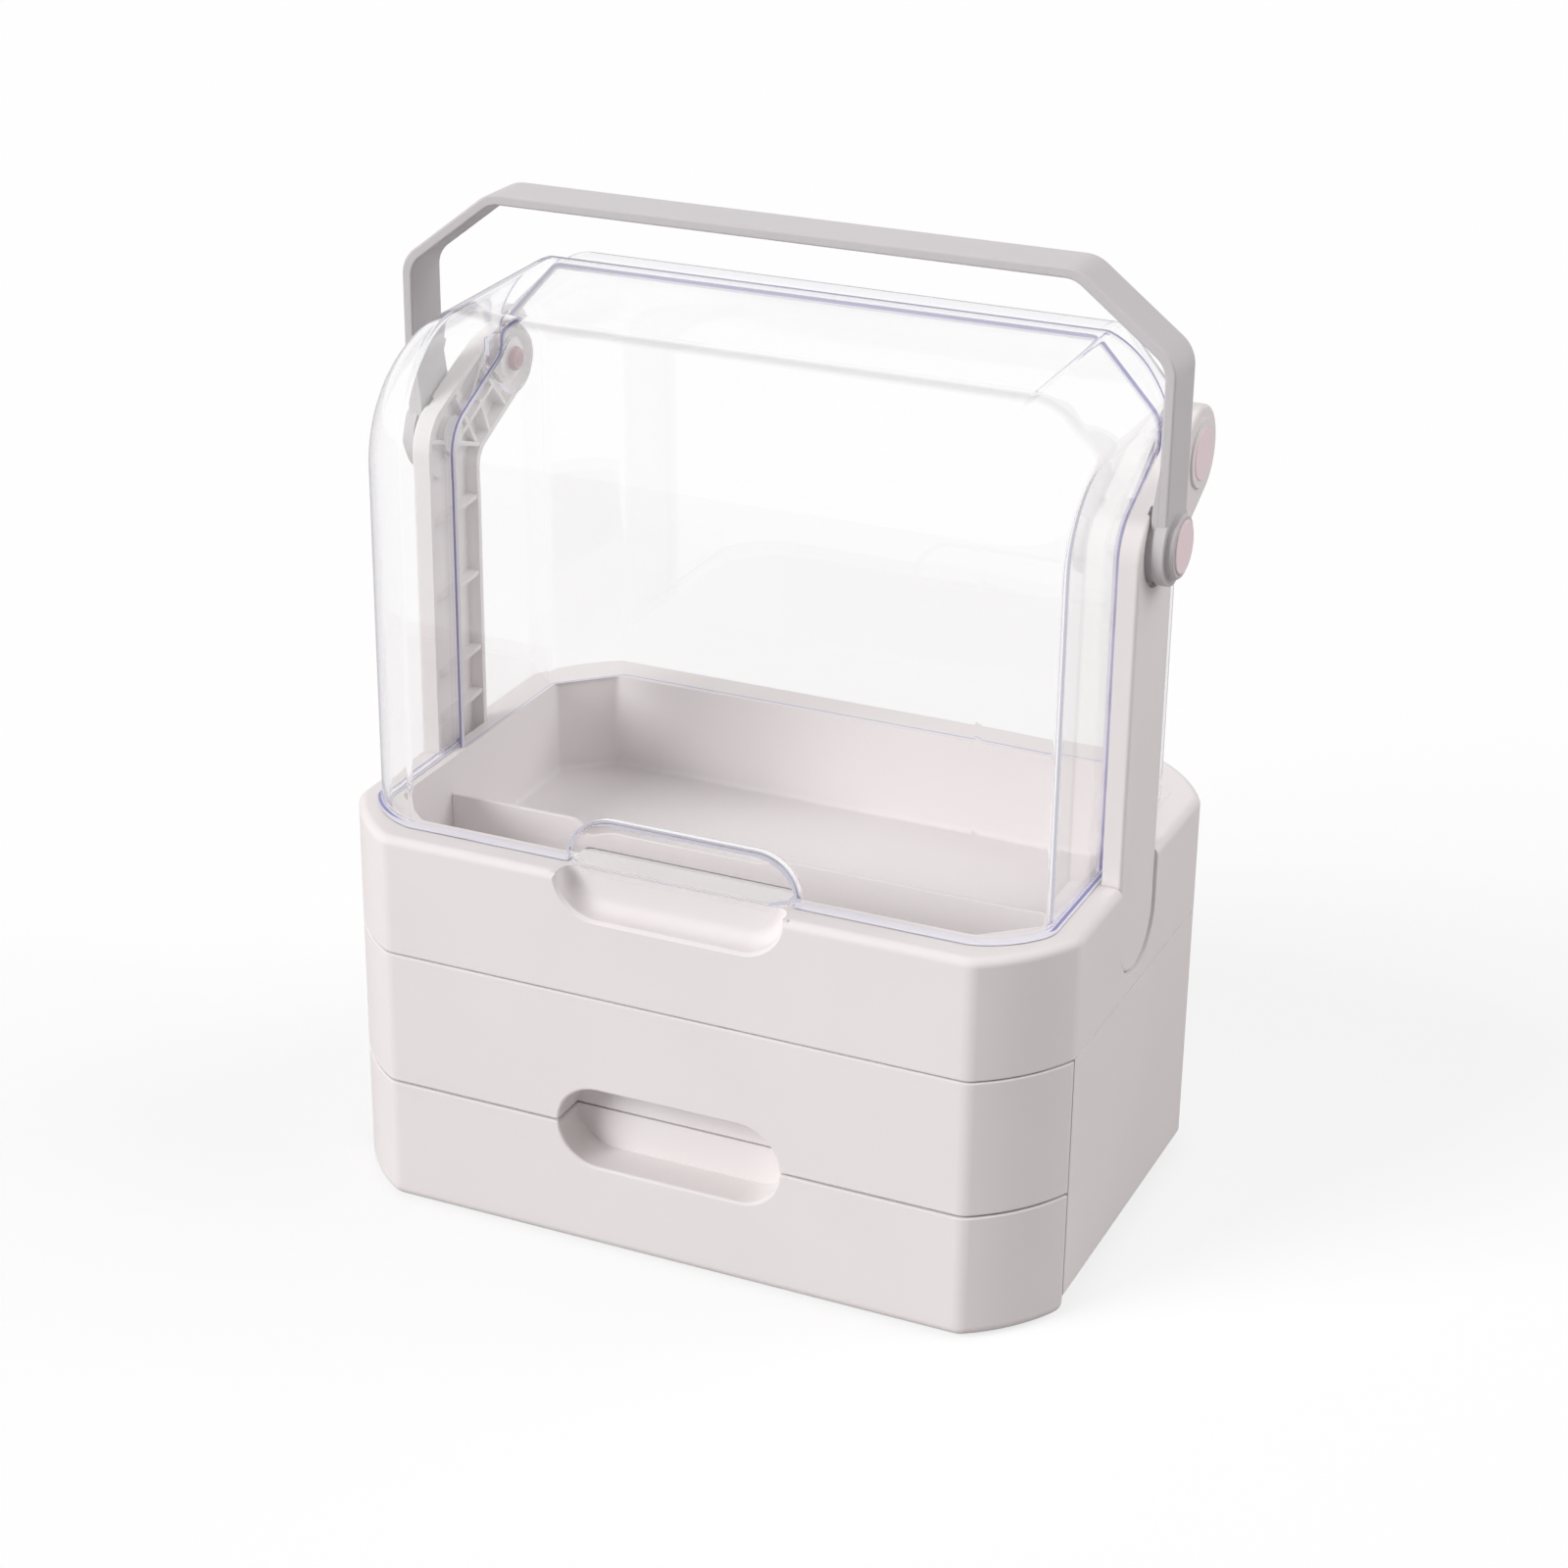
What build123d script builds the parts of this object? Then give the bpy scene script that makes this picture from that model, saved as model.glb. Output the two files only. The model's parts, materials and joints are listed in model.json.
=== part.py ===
from build123d import *
from math import atan2, cos, hypot, pi, radians, sin, sqrt, tan
import os

# Makeup storage case: two drawers, a deep top tray, a clear cover in two halves and a bail handle.
# Millimetres. The origin is on the floor under the middle of the base, -Y is the front, +Z is up.
# Heights up to the last lines are measured from a level 7.8 above the floor, and lift adds it back.
os.makedirs("parts", exist_ok=True)

# base
base_width = 280.0
base_depth = 191.0
corner_cut = (27.5, 30.9)    # how far each corner is cut back along X and along Y
corner_bulge = 3.1           # the cut corners are shallow convex arcs
corner_rounding = 8.0
skin = 2.6                   # wall of the outer mouldings
ground = -7.8                # the floor the case stands on
lift = -ground
casing_low = -1.2            # the casing's bottom; the lower drawer's front reaches further down
front_clearance = 0.5        # under the lower drawer's front
drawer_seam = 41.3           # height of the line between the two drawers
tray_seam = 94.1             # height of the line between the drawers and the tray
rim_top = 140.0              # top of the tray
seam_gap = 0.4               # half of the gap between the two drawer fronts
tray_seam_gap = 0.5          # between the upper drawer's front and the tray
front_end = -64.7            # the drawer fronts end here and the casing's sides begin
end_gap = 0.3                # half of the gap there

# finger pockets: stadiums centred on the seams
pocket_radius = 15.6
pocket_half = 43.3
drawer_pocket_depth = 15.5
tray_pocket_depth = 9.0
pocket_wall = 2.4

# drawers
drawer_side_gap = 6.6        # from the base outline to the drawer box
drawer_travel = 125.0
box_wall = 2.0
box_rear = 84.0
front_floor = 2.4            # bottom wall of a drawer front
front_roof = 1.8             # top wall of a drawer front
shelf_thickness = 2.1
ledge_width = 3.3
ledge_height = 3.0
flange_width = 3.4
flange_thickness = 2.0

# tray
tray_half = (124.3, 76.5)
tray_cut = (18.0, 16.0)
tray_floor = 102.0
tray_floor_thickness = 2.5
inner_wall = 2.2
divider_y = -23.5
divider_top = 126.0

# arms
arm_inner = 131.9
arm_outer = 139.2
arm_centre_y = -3.5
arm_half = 18.5
arm_foot_z = 119.5
arm_end_radius = 17.0
arm_lean = radians(26.6)
arm_rim = 2.2
arm_skin = 2.4

# pivots: (y, z)
cover_pivot = (39.5, 279.5)
handle_pivot = (-2.8, 260.5)
cover_pin_radius = 3.45
handle_pin_radius = 3.95
running_gap = 0.05
cap_radius = 9.3

# clear covers
cover_half = 129.5
cover_front = 84.0           # from the middle forward
cover_wall = 2.2
cover_cut = (22.2, 18.0)
cover_bulge = 3.1
cover_base = rim_top + 0.3
ridge_y = 28.6
ridge_z = 322.0
roof_slope = 0.03
shoulder_radius = 46.0
side_shoulder_radius = 32.0
side_drop = 23.5             # the side walls end this far below the ridge
seam_y = -10.5
seam_kink_z = 264.0
seam_top_z = 284.0
rear_half = 127.0
rear_wall = 2.0
rear_radius = 40.8           # barrel top of the rear cover, about the cover pivot
rear_end_radius = 19.2
rear_cut = 22.8
rear_lap = 2.0               # the rear cover reaches this far in under the front cover

# handle
bail_half = 145.0
bail_wall = 3.8
bail_width = 21.0
bail_top = 353.8
bail_shoulder_z = 326.5
bail_flat_half = 109.6
bail_bend = 12.0
hub_radius = 14.0

base_half = base_width / 2
depth_half = base_depth / 2
far = 500.0                  # further than anything on the case


# ---- helpers

def box_between(low, high):
    size = [b - a for a, b in zip(low, high)]
    centre = [(a + b) / 2 for a, b in zip(low, high)]
    return Pos(*centre) * Box(*size)


def mirrored(piece):
    return mirror(piece, about=Plane.YZ)


def behind(y):
    return box_between((-far, y, -far), (far, far, far))


def in_front_of(y):
    return box_between((-far, -far, -far), (far, y, far))


def x_cylinder(radius, x_from, x_to, centre):
    placed = Plane(origin=(x_from, centre[0], centre[1]), z_dir=(1, 0, 0))
    return extrude(placed * Circle(radius), amount=x_to - x_from)


def y_cylinder(radius, x, z, y_from, y_to):
    placed = Plane(origin=(x, y_from, z), x_dir=(1, 0, 0), z_dir=(0, 1, 0))
    return extrude(placed * Circle(radius), amount=y_to - y_from)


def z_cylinder(radius, x, y, low, high):
    return Pos(x, y, (low + high) / 2) * Cylinder(radius, high - low)


def side_plane(x):
    """A plane across X whose own axes are the case's Y and Z."""
    return Plane(origin=(x, 0, 0), x_dir=(0, 1, 0), z_dir=(1, 0, 0))


def corner_arc(half, cut, bulge, inset, count):
    """Points on the arc that cuts the corner (+x, -y), from the front to the side, moved in by inset."""
    chord = hypot(*cut)
    radius = (chord ** 2 / 4 + bulge ** 2) / (2 * bulge)
    reach = radius - bulge
    centre_x = half[0] - cut[0] / 2 - reach * cut[1] / chord
    centre_y = -half[1] + cut[1] / 2 + reach * cut[0] / chord
    r = radius - inset
    front = -half[1] + inset - centre_y
    side = half[0] - inset - centre_x
    first = atan2(front, sqrt(r ** 2 - front ** 2))
    last = atan2(-sqrt(r ** 2 - side ** 2), side)
    angles = [first + (last - first) * i / (count - 1) for i in range(count)]
    return [(centre_x + r * cos(a), centre_y + r * sin(a)) for a in angles]


def base_plan(inset):
    """The base's outline: four sides and four arc corners."""
    corner = corner_arc((base_half, depth_half), corner_cut, corner_bulge, inset, 3)
    arcs = []
    for sx, sy in ((1, 1), (1, -1), (-1, -1), (-1, 1)):
        points = [(sx * x, sy * y) for x, y in corner]
        arcs.append(points if sx * sy > 0 else points[::-1])
    edges = []
    for i in range(4):
        edges.append(ThreePointArc(*arcs[i]))
        edges.append(Line(arcs[i][2], arcs[(i + 1) % 4][0]))
    plan = make_face(Wire(edges))
    return fillet(plan.vertices(), max(corner_rounding - inset, 1.2))


def base_block(inset, low, high):
    return extrude(Pos(0, 0, low) * base_plan(inset), amount=high - low)


def bottom_edges(piece):
    return piece.edges().group_by(Axis.Z)[0]


def top_edges(piece):
    return piece.edges().group_by(Axis.Z)[-1]


def stadium(grow, centre_z, y_from, y_to):
    """A finger pocket's stadium, grown by grow, from y_from to y_to."""
    placed = Plane(origin=(0, y_from, centre_z), x_dir=(1, 0, 0), z_dir=(0, 1, 0))
    slot = SlotCenterToCenter(2 * (pocket_half - pocket_radius), 2 * (pocket_radius + grow))
    return extrude(placed * slot, amount=y_to - y_from)


seam_rounding = 0.7
mouth_rounding = 1.2


def mouth_edges(piece):
    """The edges round a finger pocket's mouth, on the front face."""
    on_front = [e for e in piece.edges() if abs(e.center().Y + depth_half) < 0.01]
    return [e for e in on_front if abs(e.center().X) < pocket_half and e.length < 2 * pocket_half]


# ---- casing, shelf and feet

shelf_low = drawer_seam - shelf_thickness / 2
shelf_high = drawer_seam + shelf_thickness / 2
screw_radius = 1.5
head_radius = 2.8
head_height = 2.0
foot_radius = 8.0
foot_recess = 1.0
foot_places = [(x, y) for x in (-104, 104) for y in (-50, 66)]
post_places = [(-62, 88.6), (62, 88.6)]
post_ledge = 2.0
stop_half = 32.0
stop_wall = 2.4
stop_reach = 1.2             # a stop hangs this far below the top of the box behind it
stop_back = box_rear - box_wall - drawer_travel - 0.3

# bottom and top of each drawer front, then of its box
lower_front = (ground + front_clearance, drawer_seam - seam_gap)
upper_front = (drawer_seam + seam_gap, tray_seam - tray_seam_gap)
lower_box = (casing_low + skin + 0.3, lower_front[1] - front_roof - 0.3)
upper_box = (upper_front[0] + front_floor + 0.2, upper_front[1] - front_roof - 0.3)


def stop_tab(box_top, high):
    low = (-stop_half, stop_back - stop_wall, box_top - stop_reach)
    return box_between(low, (stop_half, stop_back, high))


def drawer_ledge(box_top):
    top = box_top - flange_thickness - 0.15
    inner = base_half - skin - ledge_width
    return box_between((inner, front_end + 4, top - ledge_height), (base_half - 1, 58, top))


def casing_shell():
    shell = fillet(bottom_edges(base_block(0, casing_low, tray_seam)), 2.0)
    shell = shell & behind(front_end + end_gap)
    shell -= base_block(skin, casing_low + skin, tray_seam + 1)
    shell -= base_block(skin - 1.0, shelf_low, shelf_high)
    for box in (lower_box, upper_box):
        ledge = drawer_ledge(box[1])
        shell += ledge
        shell += mirrored(ledge)
    for x, y in foot_places:
        shell -= z_cylinder(foot_radius, x, y, ground, casing_low + foot_recess)
    for x, y in post_places:
        low = (x - 7, y - 4.2, tray_seam - post_ledge)
        shell += box_between(low, (x + 7, depth_half - 1, tray_seam))
        shell -= z_cylinder(screw_radius + 0.2, x, y, tray_seam - 5, tray_seam + 1)
    return shell


def middle_shelf():
    fit = 0.05
    shelf = base_block(skin - 0.9, shelf_low + fit, shelf_high - fit) & behind(front_end + 0.7)
    return shelf + stop_tab(lower_box[1], shelf_high - 0.5)


def rubber_feet():
    top = casing_low + foot_recess
    feet = [z_cylinder(foot_radius - running_gap, x, y, ground, top) for x, y in foot_places]
    return Compound([fillet(bottom_edges(foot), 0.5) for foot in feet])


# ---- drawers

box_front = -depth_half + drawer_pocket_depth + pocket_wall
drawer_screw_x = 72.0
heel_rounding = 6.0          # the lower front's bottom turns up to the casing's at its rear ends
bottom_rounding = 4.0


def screw_places(box):
    return [(x, (box[0] + box[1]) / 2) for x in (-drawer_screw_x, drawer_screw_x)]


def below_heel(low):
    """What is cut off a drawer front so that its bottom turns up at the rear ends."""
    y, z = front_end - end_gap - heel_rounding, low + heel_rounding
    corner = box_between((-far, y, low - 1), (far, far, z))
    return corner - x_cylinder(heel_rounding, -far, far, (y, z))


def drawer_front(levels, box, rounded_bottom):
    low, high = levels
    outer = fillet(top_edges(base_block(0, low, high)), seam_rounding)
    hollow = base_block(skin, low + front_floor, high - front_roof)
    if rounded_bottom:
        outer = fillet(bottom_edges(outer), bottom_rounding) - below_heel(low)
        hollow = fillet(bottom_edges(hollow), bottom_rounding - skin)
    else:
        outer = fillet(bottom_edges(outer), seam_rounding)
    front = (outer & in_front_of(front_end - end_gap)) - hollow
    slab = box_between((-far, -far, low), (far, far, high))
    front += stadium(pocket_wall, drawer_seam, -depth_half + 1, box_front) & slab
    plate_half = drawer_screw_x + 12
    front += box_between((-plate_half, box_front - pocket_wall, low + 1), (plate_half, box_front, high - 1))
    front -= stadium(0, drawer_seam, -far, box_front - pocket_wall)
    front = fillet(mouth_edges(front), mouth_rounding)
    for x, z in screw_places(box):
        front -= y_cylinder(screw_radius + running_gap, x, z, box_front - pocket_wall - 1, box_front + 1)
    return front


def drawer_box(box):
    low, high = box
    body = base_block(drawer_side_gap, low, high) & behind(box_front) & in_front_of(box_rear)
    room = base_block(drawer_side_gap + box_wall, low + 2.2, high + 1)
    body -= room & behind(box_front + box_wall) & in_front_of(box_rear - box_wall)
    inner = base_half - drawer_side_gap
    flange = box_between((inner - 1, -56, high - flange_thickness), (inner + flange_width, 58, high))
    body += flange
    body += mirrored(flange)
    for x, z in screw_places(box):
        body -= y_cylinder(screw_radius + running_gap, x, z, box_front - 1, box_front + box_wall + 1)
    return body


def drawer_screws(box):
    head_y = box_front + box_wall
    screws = []
    for x, z in screw_places(box):
        shank = y_cylinder(screw_radius, x, z, box_front - pocket_wall, head_y)
        screws.append(shank + y_cylinder(head_radius, x, z, head_y, head_y + head_height))
    return Compound(screws)


# ---- arms

rib = 1.6
rib_heights = [152, 170, 200, 230]
rib_reach = 30.0
rib_drop = 3.0               # the ribs rise this far to the rear on each side of the middle
lattice = [                  # ribs of the leaning part, as pairs of (y, z) points
    ((-22, 263), (22, 249.5)), ((-6, 253.7), (30, 272.5)), ((18, 282), (40, 258)),
    ((0, 274), (14, 253)), ((10, 270), (24, 288)), ((18, 268), (24, 254)),
]
foot_block_top = 122.0
hub_recess = 1.9
hub_recess_radius = 15.2
hub_floor = 2.0              # what stays of the arm behind the hub's recess
pin_boss_radius = 7.0
pin_boss_x = arm_inner + 0.5
pin_skin = 1.0               # closes the handle pin's bore on the inside
cover_boss_radius = 8.5
ring_radius = 12.0
ring_height = 0.8
arm_bore_top = 113.0
arm_screw_places = [(135.6, arm_centre_y - 9), (135.6, arm_centre_y + 9)]


def arm_plan(inset):
    """An upright that leans back to a round end at the cover pivot, seen from the side."""
    along = (cos(arm_lean), sin(arm_lean))
    up = (-along[1], along[0])
    r = arm_end_radius - inset
    h = arm_half - inset
    front, back = arm_centre_y - h, arm_centre_y + h
    top = (cover_pivot[0] + up[0] * r, cover_pivot[1] + up[1] * r)
    tip = (cover_pivot[0] + along[0] * r, cover_pivot[1] + along[1] * r)
    under = (cover_pivot[0] - up[0] * r, cover_pivot[1] - up[1] * r)
    knee = (front, top[1] - (top[0] - front) * tan(arm_lean))
    elbow = (back, under[1] - (under[0] - back) * tan(arm_lean))
    edges = [Line((front, arm_foot_z), knee), Line(knee, top), ThreePointArc(top, tip, under)]
    edges += [Line(under, elbow), Line(elbow, (back, arm_foot_z))]
    edges.append(ThreePointArc((back, arm_foot_z), (arm_centre_y, arm_foot_z - h), (front, arm_foot_z)))
    plan = make_face(Wire(edges))
    plan = fillet(plan.vertices().sort_by_distance((*knee, 0))[0], 16.0)
    return fillet(plan.vertices().sort_by_distance((*elbow, 0))[0], 9.0)


def arm_block(inset, x_from, x_to):
    return extrude(side_plane(x_from) * arm_plan(inset), amount=x_to - x_from)


def arm_rib(start, end):
    """A thin rib inside the arm between two (y, z) points."""
    span = (end[0] - start[0], end[1] - start[1])
    middle = Pos((start[0] + end[0]) / 2, (start[1] + end[1]) / 2)
    bar = middle * Rot(0, 0, atan2(span[1], span[0]) * 180 / pi) * Rectangle(hypot(*span), rib)
    return extrude(side_plane(arm_inner + 0.4) * bar, amount=arm_outer - arm_inner)


def right_arm():
    body = arm_block(0, arm_inner, arm_outer)
    body = fillet(body.faces().sort_by(Axis.X)[-1].edges(), 1.4)
    hollow = arm_block(arm_rim, arm_inner - 1, arm_outer - arm_skin)
    hollow &= box_between((0, -far, foot_block_top), (far, far, far))
    for z in rib_heights:
        hollow -= arm_rib((-rib_reach, z - rib_drop), (rib_reach, z + rib_drop))
    for start, end in lattice:
        hollow -= arm_rib(start, end)
    hub_back = arm_outer - hub_recess - hub_floor
    hollow -= x_cylinder(hub_recess_radius + rib, hub_back, arm_outer, handle_pivot)
    hollow -= x_cylinder(pin_boss_radius, pin_boss_x, arm_outer, handle_pivot)
    hollow -= x_cylinder(cover_boss_radius, arm_inner - 1, arm_outer, cover_pivot)
    body -= hollow
    body -= x_cylinder(hub_recess_radius, arm_outer - hub_recess, arm_outer + 1, handle_pivot)
    bore_end = pin_boss_x + pin_skin
    body -= x_cylinder(handle_pin_radius + running_gap, bore_end, arm_outer + 1, handle_pivot)
    ring = x_cylinder(ring_radius, arm_outer - 0.5, arm_outer + ring_height, cover_pivot)
    body += ring - x_cylinder(cap_radius + 0.1, arm_outer - 1, arm_outer + 2, cover_pivot)
    body -= x_cylinder(cover_pin_radius + running_gap, arm_inner - 1, arm_outer + 1, cover_pivot)
    for x, y in arm_screw_places:
        body -= z_cylinder(screw_radius + running_gap, x, y, tray_seam, arm_bore_top)
    return body


arm_screw_seat = 0.6         # the heads sink this far into the tray's underside
arm_screw_tip = 112.5
tray_screw_tip = 106.0


def upright_screw(x, y, head_low, tip):
    head = z_cylinder(head_radius, x, y, head_low, head_low + head_height)
    return head + z_cylinder(screw_radius, x, y, head_low + head_height, tip)


def arm_screws():
    places = [(side * x, y) for side in (1, -1) for x, y in arm_screw_places]
    low = tray_seam + arm_screw_seat
    return Compound([upright_screw(x, y, low, arm_screw_tip) for x, y in places])


def tray_screws():
    low = tray_seam - post_ledge - head_height
    return Compound([upright_screw(x, y, low, tray_screw_tip) for x, y in post_places])


# ---- tray and its divider

tab_x = 70.0                 # two tabs on the rear cover drop into slots in the rim
tab_half = 8.0
tab_reach = 8.0
tab_gap = 0.2
rear_y = cover_pivot[0] + rear_radius
rim_rounding = 3.2
rim_thickness = 2.5
surround_wall = 2.0
scoop_rounding = 5.0
pan_flange = 4.5             # the pan's rim, whose seam lies under the covers' feet
pan_flange_thickness = 2.0
pan_gap = 0.05
pan_corner = 2.5
pan_floor_rounding = 2.0
post_radius = 4.0
post_bore_top = 106.5
tray_slot_gap = 0.6          # round the arms' feet
arm_side_gap = 0.3           # between an arm's inner face and the tray
arm_seat = (-27, 20)         # solid blocks under the arms, from and to along Y
divider_half_wall = 0.9
divider_foot = 2.1
divider_low = 123.0
divider_steps = (-72.0, -67.0, 3.0, 8.6)
divider_step_rounding = 3.0
divider_rounding = 0.5


def tray_block(grow, low, high):
    """The eight-sided inside of the tray, grown outwards by grow."""
    x, y = tray_half[0] + grow, tray_half[1] + grow
    cx, cy = tray_cut[0] + grow * 0.4, tray_cut[1] + grow * 0.4
    side = [(x, -y + cy), (x, y - cy), (x - cx, y), (cx - x, y)]
    plan = make_face(Polyline(*side, *[(-px, -py) for px, py in side], close=True))
    return extrude(Pos(0, 0, low) * plan, amount=high - low)


def scoop(grow, rounding, y_from, y_to):
    """A finger pocket cut into the rim's height, with a rounded back."""
    body = stadium(grow, rim_top, y_from, y_to)
    return fillet(body.faces().sort_by(Axis.Y)[-1].edges(), rounding + grow)


def scoop_bevel():
    placed = Plane(origin=(0, -depth_half, rim_top), x_dir=(1, 0, 0), z_dir=(0, 1, 0))
    size = 2 * (pocket_radius + mouth_rounding)
    mouth = SlotCenterToCenter(2 * (pocket_half - pocket_radius), size)
    return extrude(placed * mouth, amount=mouth_rounding, taper=45)


def pan_outside(gap):
    """The pan as a solid block with its flange, grown by gap."""
    flange_low = rim_top - pan_flange_thickness - gap
    body = tray_block(inner_wall + gap, tray_floor - tray_floor_thickness - gap, rim_top + gap)
    return body + tray_block(pan_flange + gap, flange_low, rim_top + gap)


def tab_slots():
    """The room for the rear cover's two tabs."""
    reach = tab_half + tab_gap
    low = (tab_x - reach, rear_y - rear_wall - tab_gap / 2, rim_top - tab_reach - 2 * tab_gap)
    slot = box_between(low, (tab_x + reach, rear_y + tab_gap / 2, rim_top + 1))
    return slot, mirrored(slot)


def tray_pan():
    room = tray_block(0, tray_floor, rim_top + 1)
    room = fillet(room.edges().filter_by(Axis.Z), pan_corner)
    pan = pan_outside(0) - fillet(bottom_edges(room), pan_floor_rounding)
    pan = pan & box_between((-far, -far, 0), (far, far, rim_top))
    for slot in tab_slots():
        pan -= slot
    return pan + stop_tab(upper_box[1], tray_floor - 1)


def tray_surround():
    ring = fillet(top_edges(base_block(0, tray_seam, rim_top)), rim_rounding)
    ring = fillet(bottom_edges(ring), seam_rounding)
    ring -= base_block(skin, tray_seam - 1, rim_top - rim_thickness)
    seat_low = (tray_half[0] + 1, arm_seat[0], tray_seam)
    seat = box_between(seat_low, (base_half - 1, arm_seat[1], rim_top - 1))
    slot = arm_block(-tray_slot_gap, arm_inner - arm_side_gap, base_half + 1)
    ring += seat
    ring += mirrored(seat)
    ring -= slot
    ring -= mirrored(slot)
    scoop_back = -depth_half + tray_pocket_depth
    below_rim = box_between((-far, -far, tray_seam), (far, far, rim_top))
    wall_back = scoop_back + surround_wall
    ring += scoop(surround_wall, scoop_rounding, -depth_half + 1, wall_back) & below_rim
    ring -= scoop(0, scoop_rounding, -far, scoop_back)
    ring -= scoop_bevel()
    for x, y in post_places:
        ring += z_cylinder(post_radius, x, y, tray_seam, rim_top - 1)
    ring -= pan_outside(pan_gap)
    for x, y in post_places:
        ring -= z_cylinder(screw_radius + running_gap, x, y, tray_seam - 1, post_bore_top)
    head_top = tray_seam + arm_screw_seat + head_height
    for x, y in [(side * x, y) for side in (1, -1) for x, y in arm_screw_places]:
        ring -= z_cylinder(screw_radius + 2 * running_gap, x, y, tray_seam - 1, arm_bore_top)
        ring -= z_cylinder(head_radius + 2 * running_gap, x, y, tray_seam - 1, head_top)
    for slot in tab_slots():
        ring -= slot
    return ring


def tray_divider():
    half = tray_half[0] - 0.15
    a, b, c, d = divider_steps
    top = [(a, divider_top), (b, divider_low), (c, divider_low), (d, divider_top)]
    outline = [(-half, tray_floor), (-half, divider_top), *top, (half, divider_top), (half, tray_floor)]
    placed = Plane(origin=(0, divider_y - divider_half_wall, 0), x_dir=(1, 0, 0), z_dir=(0, -1, 0))
    plan = make_face(Polyline(*outline, close=True))
    steps = [v for v in plan.vertices() if abs(v.X) < half - 1]
    plan = fillet(steps, divider_step_rounding)
    wall = extrude(placed * plan, amount=-2 * divider_half_wall)
    wall = chamfer(wall.edges().filter_by(Axis.Y).group_by(Axis.Z)[0], divider_foot)
    upper = [e for e in wall.edges() if e.center().Z > divider_low - 1]
    return fillet([e for e in upper if abs(e.center().Y - divider_y) > 0.8], divider_rounding)


# ---- clear covers

def cover_profile(depth, low, back):
    """The front cover seen from the side, where its front face stands depth behind the foremost."""
    share = depth / cover_cut[1]
    front = -cover_front + depth
    slope = roof_slope * (1 - share)
    top = ridge_z - side_drop * share
    radius = shoulder_radius + (side_shoulder_radius - shoulder_radius) * share
    lean = atan2(1, -slope)
    centre_y = front + radius
    centre_z = top - radius / sin(lean) - (ridge_y - centre_y) * slope
    half_way = (pi + lean) / 2
    start = (front, centre_z)
    bend = (centre_y + radius * cos(half_way), centre_z + radius * sin(half_way))
    end = (centre_y + radius * cos(lean), centre_z + radius * sin(lean))
    back_top = (back, end[1] + (back - end[0]) * slope)
    edges = [Line((front, low), start), ThreePointArc(start, bend, end), Line(end, back_top)]
    edges += [Line(back_top, (back, low)), Line((back, low), (front, low))]
    return make_face(Wire(edges))


def cover_hull(inset, low, back):
    """The front cover's outside moved in by inset, as flat strips across its corners."""
    arc = corner_arc((cover_half, cover_front), cover_cut, cover_bulge, inset, 5)
    arc = [(x, y + cover_front) for x, y in arc]
    stations = [(-x, depth) for x, depth in reversed(arc)] + arc
    return loft([side_plane(x) * cover_profile(depth, low, back) for x, depth in stations], ruled=True)


def ahead_of_seam(shift):
    """Everything in front of the line where the two covers meet, moved back by shift."""
    y, kink, top = seam_y + shift, seam_kink_z - shift * 0.5, seam_top_z - shift * 0.5
    outline = [(-far, 0), (y, 0), (y, kink), (ridge_y + shift, top), (ridge_y + shift, far), (-far, far)]
    plan = make_face(Polyline(*outline, close=True))
    return extrude(side_plane(-far) * plan, amount=2 * far)


ear_thickness = 2.0
ear_radius = 14.0
ear_neck_y = 20.0
ear_neck_z = (281.0, 292.0)
ear_join = (-4.0, 13.4)      # where the neck meets the round end, from the pivot


def cover_ear():
    """The plate that carries the cover's side out to its pivot."""
    join_y, join_z = cover_pivot[0] + ear_join[0], ear_join[1]
    neck = [(join_y, cover_pivot[1] + join_z), (ear_neck_y, ear_neck_z[1])]
    neck += [(ear_neck_y, ear_neck_z[0]), (join_y, cover_pivot[1] - join_z)]
    plan = make_face(Polyline(*neck, close=True)) + Pos(*cover_pivot) * Circle(ear_radius)
    ear = extrude(side_plane(cover_half - 0.1) * plan, amount=ear_thickness + 0.1)
    return ear - x_cylinder(cover_pin_radius + running_gap, cover_half - 1, far, cover_pivot)


pull_depth = 9.0
pull_wall = 1.8
pull_rounding = 5.0
lip_thickness = 2.4
lip_half = 38.0
lip_front = -89.0
lip_low = 138.2
foot_flange = 1.6
foot_flange_height = 1.9


def front_cover():
    back = ridge_y + 20
    cover = cover_hull(0, cover_base, back) & ahead_of_seam(0)
    skirt = cover_hull(-foot_flange, cover_base, back) & ahead_of_seam(0)
    cover += skirt & box_between((-far, -far, 0), (far, far, cover_base + foot_flange_height))
    cover -= cover_hull(cover_wall, cover_base - 1, back + 1)
    above = box_between((-far, -far, cover_base), (far, far, far))
    pocket_back = -cover_front + pull_depth
    wall_back = pocket_back + pull_wall
    cover += scoop(pull_wall, pull_rounding, -cover_front + 1, wall_back) & above
    cover -= scoop(0, pull_rounding, -far, pocket_back) & above
    lip_top = cover_base + foot_flange_height
    floor_back = pocket_back + pull_wall / 2
    floor = box_between((-lip_half, lip_front, cover_base), (lip_half, floor_back, lip_top))
    nose = box_between((-lip_half, lip_front, lip_low), (lip_half, lip_front + lip_thickness, lip_top))
    cover += floor
    cover += nose
    ear = cover_ear()
    cover += ear
    return cover + mirrored(ear)


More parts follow.
